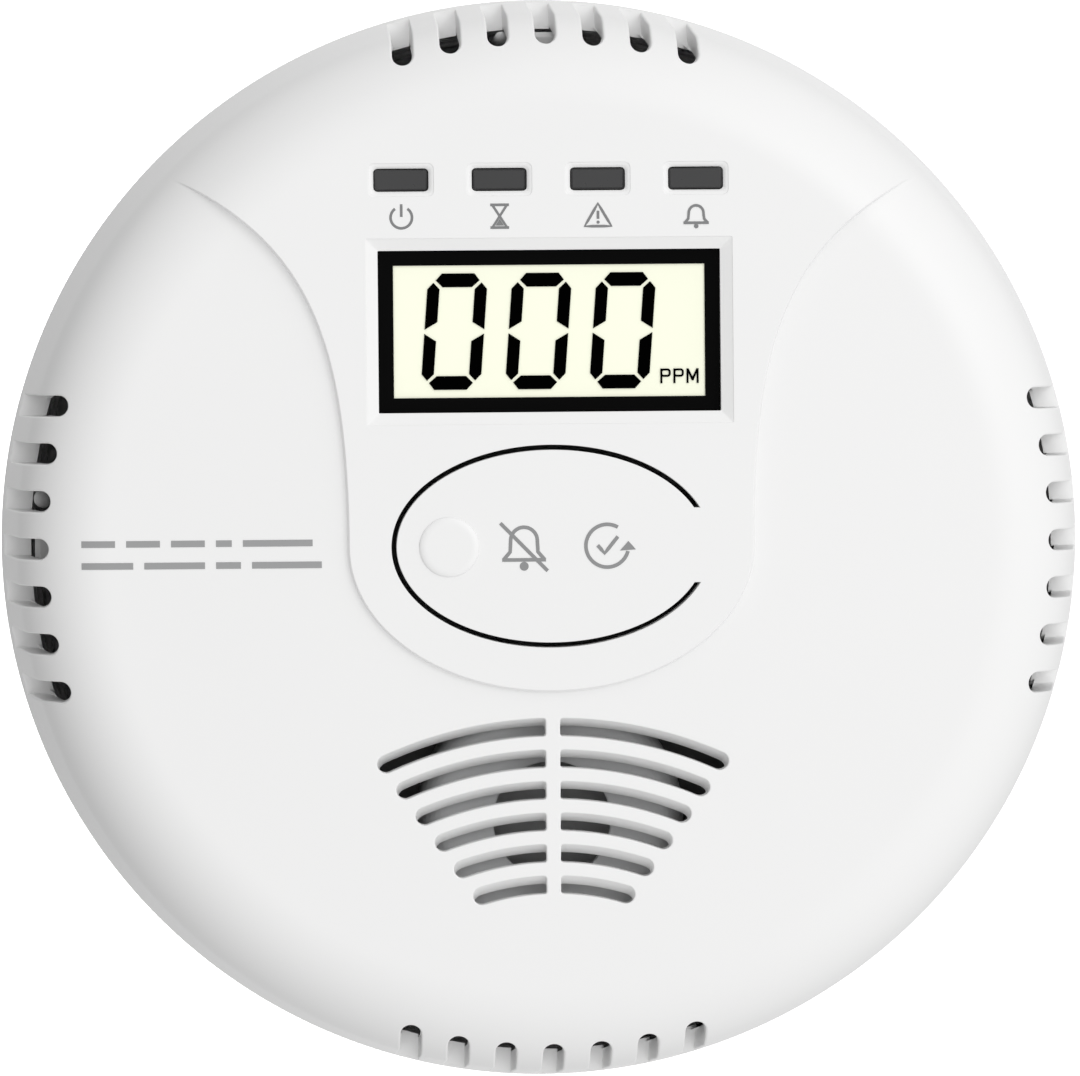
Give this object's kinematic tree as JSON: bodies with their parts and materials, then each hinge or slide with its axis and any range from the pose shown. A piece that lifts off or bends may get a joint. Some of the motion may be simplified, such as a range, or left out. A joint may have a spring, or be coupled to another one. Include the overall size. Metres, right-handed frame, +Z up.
{
  "type": "carbon monoxide alarm",
  "caption": "Round wall-mounted carbon monoxide alarm with a live digital display, status light windows, press-to-test tab, arc grille and edge vents.",
  "frame": {"origin": "centre of the mounting plate's rear face, on the wall", "axes": "+Y into the wall, so the front faces -Y; +Z up as installed; +X to the right seen from the front"},
  "size_m": [0.105, 0.0382, 0.105],
  "materials": {
    "cover_white": "satin moulded, fine texture",
    "base_white": "satin moulded",
    "lcd_black": "gloss",
    "lcd_cream": "satin glass",
    "lcd_ink": "matt",
    "diffuser": "milky",
    "zebra_rubber": "matt",
    "smoked": "gloss",
    "led_green": "gloss",
    "led_yellow": "gloss",
    "led_amber": "gloss",
    "led_red": "gloss",
    "board_black": "satin solder mask",
    "chip_black": "matt",
    "capacitor_sleeve": "gloss",
    "copper": "enamelled",
    "plunger_red": "satin",
    "buzzer_grey": "satin",
    "brass": "satin",
    "nickel": "dull plated",
    "steel": "satin",
    "cell_jacket": "printed film, left plain"
  },
  "bodies": {
    "wall_plate": {"mounting_plate": "base_white"},
    "alarm": {"base_housing": "base_white", "front_cover": "cover_white", "lcd_bezel": "lcd_black", "lcd_panel": "lcd_cream", "lcd_segments": "lcd_ink", "lcd_holder": "base_white", "lcd_backlight": "diffuser", "lcd_connectors": "zebra_rubber", "light_guides": "smoked", "led_power": "led_green", "led_life": "led_yellow", "led_fault": "led_amber", "led_alarm": "led_red", "main_board": "board_black", "microcontroller": "chip_black", "capacitors": "capacitor_sleeve", "boost_coil": "copper", "switch_body": "chip_black", "buzzer_housing": "buzzer_grey", "piezo_disc": "nickel", "co_sensor": "steel", "sensor_pins": "brass", "battery_1": "cell_jacket", "battery_2": "cell_jacket", "battery_3": "cell_jacket", "battery_springs": "steel", "battery_plates": "steel", "board_screws": "steel", "case_screws": "steel"},
    "button": {"button_tab": "cover_white"},
    "plunger": {"switch_plunger": "plunger_red"}
  },
  "joints": [
    {"name": "plate_twist", "type": "hinge", "parent": "wall_plate", "child": "alarm", "pos_m": [0, 0, 0], "axis": [0, -1, 0], "range_deg": [0, 15]},
    {"name": "test_press", "type": "hinge", "parent": "alarm", "child": "button", "pos_m": [0.0145, -0.0369, 0], "axis": [0, 0, -1], "range_deg": [0, 1.1], "stiffness_Nm_per_rad": 2},
    {"name": "switch_travel", "type": "slide", "parent": "alarm", "child": "plunger", "axis": [0, 1, 0], "range_m": [0, 0.00047]}
  ],
  "couplings": [
    {"joint": "switch_travel", "follows": "test_press", "m_per_rad": 0.0241}
  ]
}
